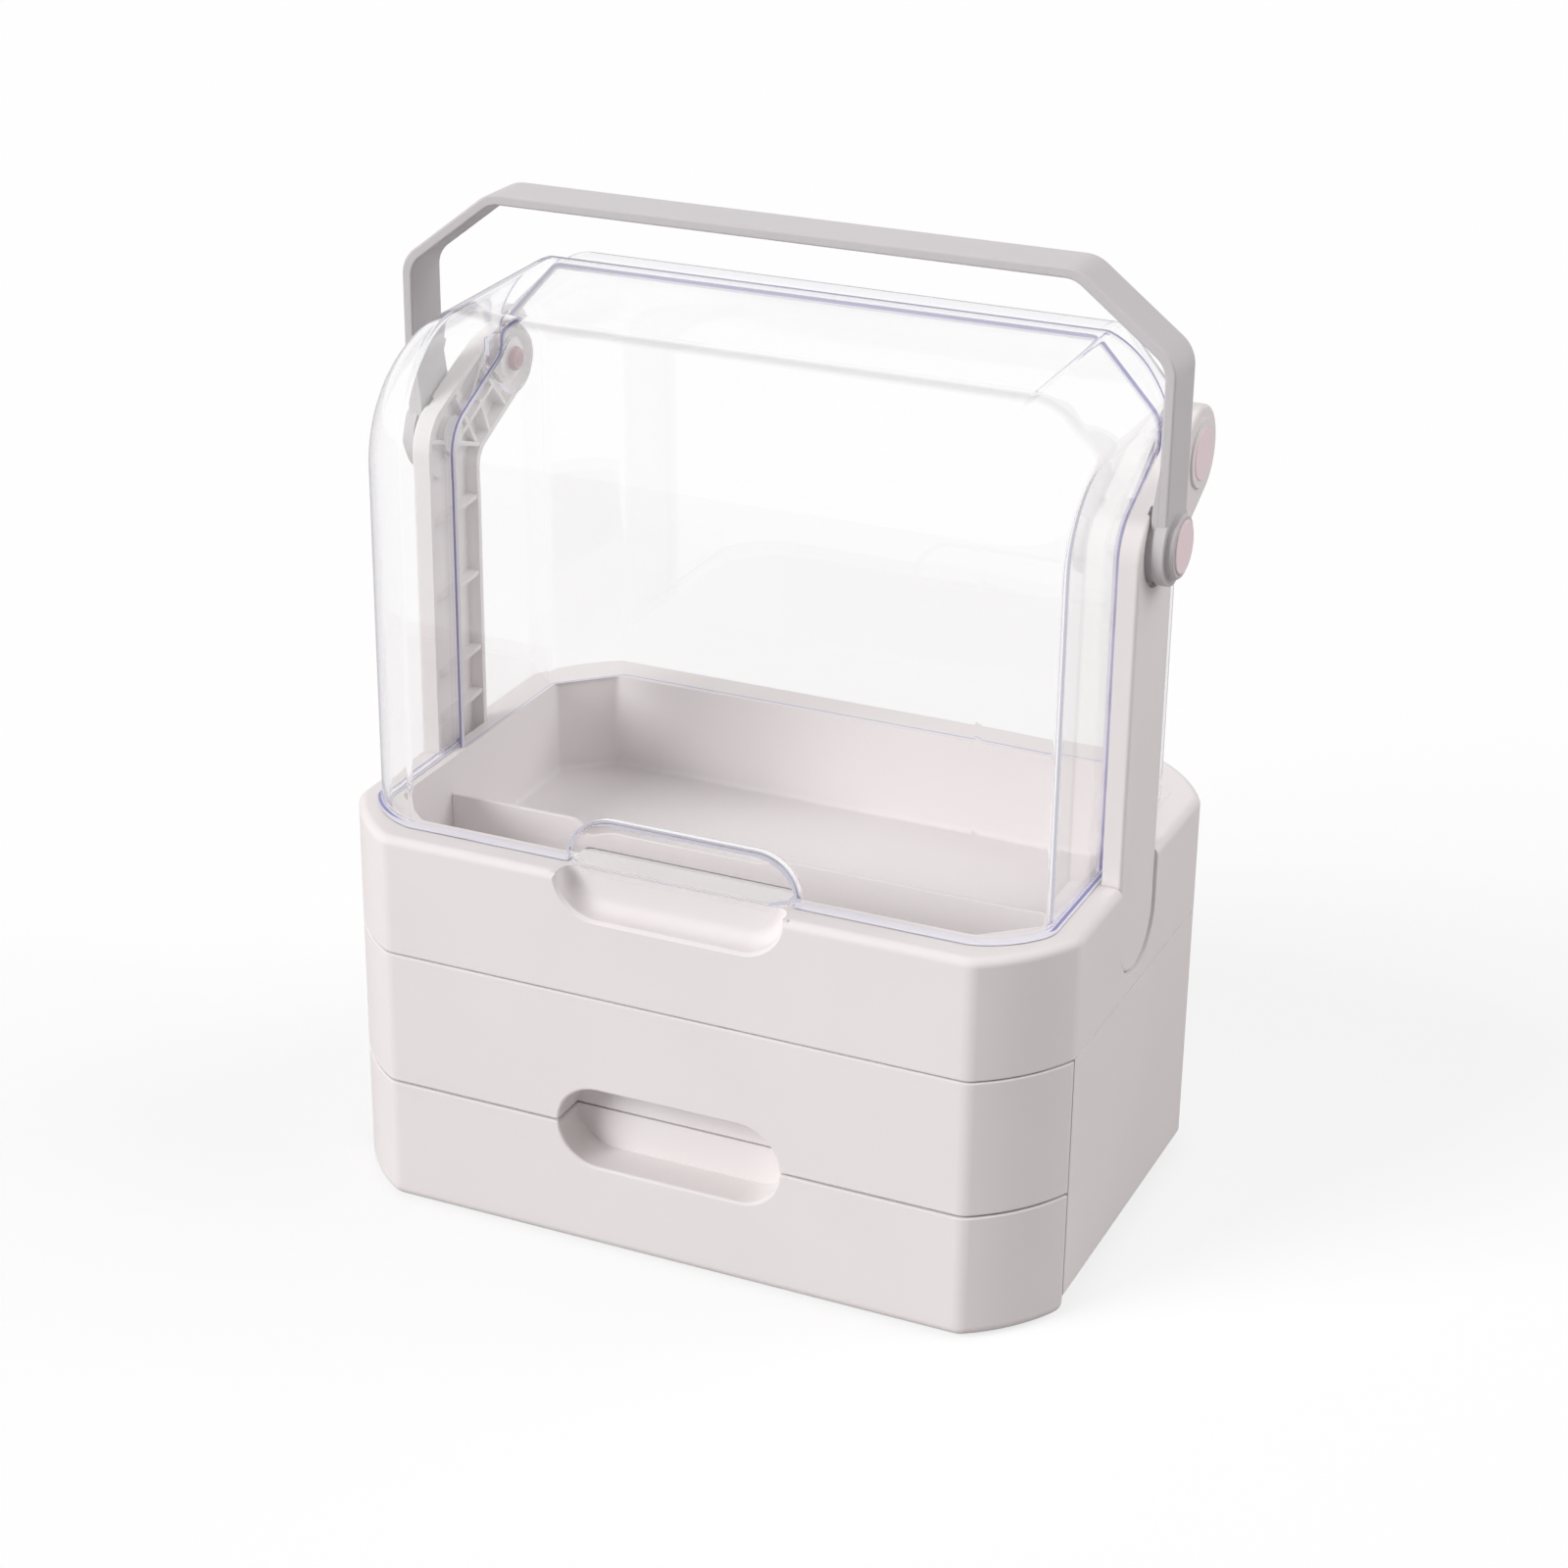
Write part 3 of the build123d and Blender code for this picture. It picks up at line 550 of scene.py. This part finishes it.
def pocketSections(spec, base, stations):
    # an upper half stadium at each (y, grow), closed at a low level
    centreX = spec["halfWidth"] - spec["radius"]
    steps = spec["arcSteps"]
    sections = []
    for y, grow, low in stations:
        r = spec["radius"] + grow
        outline = arcPoints((centreX, base), r, 0, math.pi / 2, steps)
        outline += arcPoints((-centreX, base), r, math.pi / 2, math.pi, steps)
        outline += [(-centreX - r, low), (centreX + r, low)]
        sections.append([(x, y, z) for x, z in outline])
    return sections


def roundedStations(spec, mouth, back, grow, low):
    # straight in from the mouth, then rounded over to the back
    rounding = spec["rounding"] + grow
    inner = (back - rounding, grow - rounding)
    bend = arcPoints(inner, rounding, math.pi / 2, 0, spec["roundingSteps"])
    return [(y, size, low) for y, size in [(mouth, grow)] + bend]


pullLip = {
    "half": 41.0,
    "reach": 3.5,            # how far the lip stands in front of the flange
    "drop": 2.1,
    "thickness": 1.9,
    "swellLength": 6.0,      # the ends swell out of the flange over this length
    "flangeShare": 0.9,      # the lip's ends stand out by this share of the flange
    "noseRadius": 0.9,
    "noseSteps": 4,
    "heel": (2.2, 2.9),      # behind the nose: where the underside ends, and where it meets the base
    "heelRise": 0.2,
    "steps": 44,
}


def lipSections(spec, cover):
    # the pocket's floor and its rounded nose, which swells out of the foot flange
    base, front = cover["base"], cover["frontY"]
    back = front + pull["depth"] + pull["wall"] / 2
    top = base + spec["thickness"]
    r = spec["noseRadius"]
    sections = []
    for i in range(spec["steps"] + 1):
        x = -spec["half"] + 2 * spec["half"] * i / spec["steps"]
        share = min((spec["half"] - abs(x)) / spec["swellLength"], 1)
        swell = share * share * (3 - 2 * share)      # eased at both ends
        nose = front - cover["flange"] * spec["flangeShare"] - spec["reach"] * swell
        low = base - spec["drop"] * swell
        outline = [(back, base), (back, top)]
        outline += arcPoints((nose + r, top - r), r, math.pi / 2, math.pi, spec["noseSteps"])
        outline += arcPoints((nose + r, low + r), r, math.pi, 1.5 * math.pi, spec["noseSteps"])
        outline.append((nose + spec["heel"][0], low + spec["heelRise"] * swell))
        outline.append((nose + spec["heel"][1], base))
        sections.append(atX(x, outline))
    return sections


ears = {
    "radius": 14.0,
    "thickness": 2.0,
    "sink": 0.4,             # how far each ear reaches into the cover's side
    "halfTurn": 0.58,        # the round end's extent each way, in half turns
    "arcSteps": 24,
    "neckY": 20.0,
    "neckZ": (281.0, 292.0),
    "bore": 3.5,
    "boreReach": (3.0, 4.0),     # the cutter's ends inside and outside the cover's side
    "boreSides": 32,
}


def earSections(spec, halfWidth, side):
    sweep = math.pi * spec["halfTurn"]
    outline = arcPoints(coverPivot, spec["radius"], -sweep, sweep, spec["arcSteps"])
    outline += [(spec["neckY"], spec["neckZ"][1]), (spec["neckY"], spec["neckZ"][0])]
    return [atX(side * x, outline) for x in (halfWidth - spec["sink"], halfWidth + spec["thickness"])]


def earBore(spec, halfWidth, side):
    circle = circlePoints(coverPivot, spec["bore"], spec["boreSides"])
    inside, outside = spec["boreReach"]
    return [atX(side * x, circle) for x in (halfWidth - inside, halfWidth + outside)]


def buildFrontCover(spec):
    grids = [frontCoverGrid(spec, wall) for wall in (0, spec["wall"])]
    cover = shellPiece("frontCoverShell", *grids, styrene, coverSkins)
    base, front, wall = spec["base"], spec["frontY"], pull["wall"]
    back = front + pull["depth"]
    block = roundedStations(pull, front + pull["blockInset"], back + wall, wall, base)
    cut = roundedStations(pull, front - pull["cutReach"], back, 0, base - pull["cutDrop"])
    parts = [
        ("pocketBlock", pocketSections(pull, base, block), "UNION"),
        ("pocketCut", pocketSections(pull, base, cut), "DIFFERENCE"),
        ("pullLip", lipSections(pullLip, spec), "UNION"),
    ]
    for side in (1, -1):
        parts.append(("ear", earSections(ears, spec["halfWidth"], side), "UNION"))
        parts.append(("earBore", earBore(ears, spec["halfWidth"], side), "DIFFERENCE"))
    for name, sections, operation in parts:
        combine(cover, loftPiece(name, sections, [clearPlastic]), operation)
    soften(cover, spec["edgeRounding"])
    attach(cover, "cover")
    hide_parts("front_cover")


buildFrontCover(frontCover)
print("front cover built")


# domed clips on the inner ends of the cover's pins

pinClips = {
    "dome": (                # x and radius of each ring, from the dome's middle to its edge
        (127.08, 0.6), (127.1, 1.6), (127.25, 2.9), (127.6, 3.9), (128.1, 4.6), (128.7, 4.95), (129.3, 5.0),
    ),
    "sides": 40,
    "edgeRounding": 0.1,
    "roundedAngle": 60,
}


def buildPinClips(spec):
    bm = bmesh.new()
    for side in (1, -1):
        rings = []
        for x, radius in spec["dome"]:
            rings.append(atX(side * x, circlePoints(coverPivot, radius, spec["sides"])))
        addLoft(bm, rings)
    clips = meshPiece("pinClips", bm, [clipAbs])
    soften(clips, spec["edgeRounding"], spec["roundedAngle"])
    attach(clips, "base")
    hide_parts("cover_pin_clips")


buildPinClips(pinClips)
print("pin clips built")


# rear cover

rearCover = {
    "halfWidth": 127.0,
    "wall": 2.0,
    "base": 140.0,
    "barrel": 40.8,          # the rear wall stands this far behind the pivot, and its top turns about it
    "endRadius": 19.2,       # the same where the slanted corner meets the side
    "endRun": 4.0,           # the first stretch of the side, in front of the corner
    "cornerCut": 22.8,
    "foldBlend": 6.0,
    "foldSteps": 5,
    "seam": ((-12.5, 140.0), (-12.5, 265.0), (26.6, 285.0)),     # the side's front edge, y and z
    "seamRounding": (16.0, 5.0),
    "wallLevels": (160, 190, 220, 250, 255),
    "arcSteps": 30,
    "edgeRounding": 0.4,
    "tabs": {"x": 70.0, "half": 8.0, "reach": 8.0, "gap": 0.02},
}


def rearCurve(spec, inset):
    # right half as (x, distance behind the pivot): rear wall, fold, slanted corner, fold
    run, rise = spec["cornerCut"], spec["barrel"] - spec["endRadius"]
    slant = math.atan2(rise, run)
    foldX = spec["halfWidth"] - run - inset * math.tan(slant / 2)
    rearD, sideX = spec["barrel"] - inset, spec["halfWidth"] - inset
    sideD = spec["endRadius"] - inset * math.tan((math.pi / 2 - slant) / 2)
    corners = [(0, rearD), (foldX, rearD), (sideX, sideD), (sideX, sideD - spec["endRun"])]
    blend = spec["foldBlend"] - inset
    return roundedPath(corners, (blend, blend), spec["foldSteps"])


def rearCoverGrid(spec, inset):
    pivotY, pivotZ = coverPivot
    curve = rearCurve(spec, inset)
    seamX, steps = spec["halfWidth"] - inset, spec["arcSteps"]
    edgeY = spec["seam"][-1][0]
    endR = rearCurve(spec, 0)[-1][1]
    endTop = pivotZ + math.sqrt(endR ** 2 - (edgeY - pivotY) ** 2)
    seamPath = roundedPath(list(spec["seam"]) + [(edgeY, endTop)], spec["seamRounding"])
    turn = spec["wallLevels"][-1] - spec["base"]
    overTop = sum(stretches(seamPath)) - turn
    grid = []
    for z in (spec["base"], *spec["wallLevels"]):
        half = [(x, pivotY + d, z) for x, d in curve]
        half.append((seamX, spec["seam"][0][0], z))
        grid.append(bothSides(half))
    for i in range(steps + 1):
        half = []
        for x, d in curve:
            angle = math.acos((edgeY - pivotY) / d) * i / steps
            half.append((x, pivotY + d * math.cos(angle), pivotZ + d * math.sin(angle)))
        seam = alongPath(seamPath, turn + overTop * (i + 1) / (steps + 1))
        half.append((seamX, seam[0], seam[1]))
        grid.append(bothSides(half))
    return grid


def tabSections(spec, middle):
    tabs = spec["tabs"]
    rear = coverPivot[0] + spec["barrel"]
    left, right, inner = middle - tabs["half"], middle + tabs["half"], rear - spec["wall"]
    outline = [(left, inner), (right, inner), (right, rear), (left, rear)]
    levels = (spec["base"] - tabs["reach"], spec["base"] - tabs["gap"])
    return [[(x, y, z) for x, y in outline] for z in levels]


def buildRearCover(spec):
    grids = [rearCoverGrid(spec, wall) for wall in (0, spec["wall"])]
    cover = shellPiece("rearCoverShell", *grids, styrene, coverSkins)
    for middle in (-spec["tabs"]["x"], spec["tabs"]["x"]):
        combine(cover, loftPiece("tab", tabSections(spec, middle), [clearPlastic]), "UNION")
    soften(cover, spec["edgeRounding"])
    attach(cover, "base")
    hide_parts("rear_cover")


buildRearCover(rearCover)
print("rear cover built")


# floor, backdrop light and lamps

studio = {
    "floorHex": "#B4B2B2",       # what the floor gives back to the object
    "floorSeenHex": "#FCFBFB",
    "floorShown": 0.72,          # the share of the floor that shows as plain white to the camera
    "floorRoughness": 0.9,
    "floorHalfMm": 9000.0,
    "tentHex": "#FFFFFF",
    "ambient": 0.37,
    "ambientHex": "#FFF8F8",
    "key": {"energy": 2.6, "azimuth": -40.0, "elevation": 26.0, "size": 32.0},
    "fill": {"energy": 1.45, "azimuth": 116.0, "elevation": 40.0, "size": 50.0},
}


def seenRays(tree, kinds):   # 1 for camera rays and for the named kinds
    path = addNode(tree, "ShaderNodeLightPath")
    seen = path.outputs["Is Camera Ray"]
    for name in kinds:
        pair = {0: seen, 1: path.outputs[name]}
        seen = addNode(tree, "ShaderNodeMath", pair, operation="MAXIMUM").outputs["Value"]
    return seen


def makeFloor(look):
    # matt paper sweep: it shows nearly white and gives back a soft grey
    material, tree = startMaterial("paperSweep")
    seen = seenRays(tree, ("Is Transmission Ray",))
    tone = addNode(tree, "ShaderNodeMix", {
        "Factor": seen,
        "A": linear(look["floorHex"]),
        "B": linear(look["floorSeenHex"]),
    }, data_type="RGBA")
    skin = addNode(tree, "ShaderNodeBsdfPrincipled", {
        "Base Color": tone.outputs["Result"],
        "Roughness": look["floorRoughness"],
    })
    white = addNode(tree, "ShaderNodeEmission", {"Color": linear(look["tentHex"])})
    shown = addNode(tree, "ShaderNodeMath", {0: seen, 1: look["floorShown"]}, operation="MULTIPLY")
    mix = addNode(tree, "ShaderNodeMixShader", {
        "Fac": shown.outputs["Value"],
        1: skin.outputs["BSDF"],
        2: white.outputs["Emission"],
    })
    addNode(tree, "ShaderNodeOutputMaterial", {"Surface": mix.outputs["Shader"]})
    bm = bmesh.new()
    half = look["floorHalfMm"]
    gridFaces(bm, [[(x, y, -liftMm) for x in (-half, half)] for y in (-half, half)])
    floor = meshPiece("floor", bm, [material])


def makeWorld(look):
    world = bpy.data.worlds.new("softTent")
    world.use_nodes = True
    tree = world.node_tree
    tree.nodes.clear()
    light = addNode(tree, "ShaderNodeBackground", {
        "Color": linear(look["ambientHex"]),
        "Strength": look["ambient"],
    })
    tent = addNode(tree, "ShaderNodeBackground", {"Color": linear(look["tentHex"]), "Strength": 1.0})
    mix = addNode(tree, "ShaderNodeMixShader", {
        "Fac": seenRays(tree, ("Is Glossy Ray", "Is Transmission Ray")),
        1: light.outputs["Background"],
        2: tent.outputs["Background"],
    })
    addNode(tree, "ShaderNodeOutputWorld", {"Surface": mix.outputs["Shader"]})
    bpy.context.scene.world = world


def makeLamp(name, look):
    data = bpy.data.lights.new(name, "SUN")
    data.energy = look["energy"]
    data.angle = math.radians(look["size"])
    lamp = bpy.data.objects.new(name, data)
    aim = towards(look["azimuth"], look["elevation"])
    lamp.rotation_euler = aim.to_track_quat("Z", "Y").to_euler()
    lamp.visible_glossy = False          # the clear covers mirror the white tent, not the lamps
    lamp.visible_transmission = False
    bpy.context.scene.collection.objects.link(lamp)


makeFloor(studio)
makeWorld(studio)
makeLamp("keyLight", studio["key"])
makeLamp("fillLight", studio["fill"])
bpy.context.scene.view_settings.view_transform = "Standard"
print("studio lit")
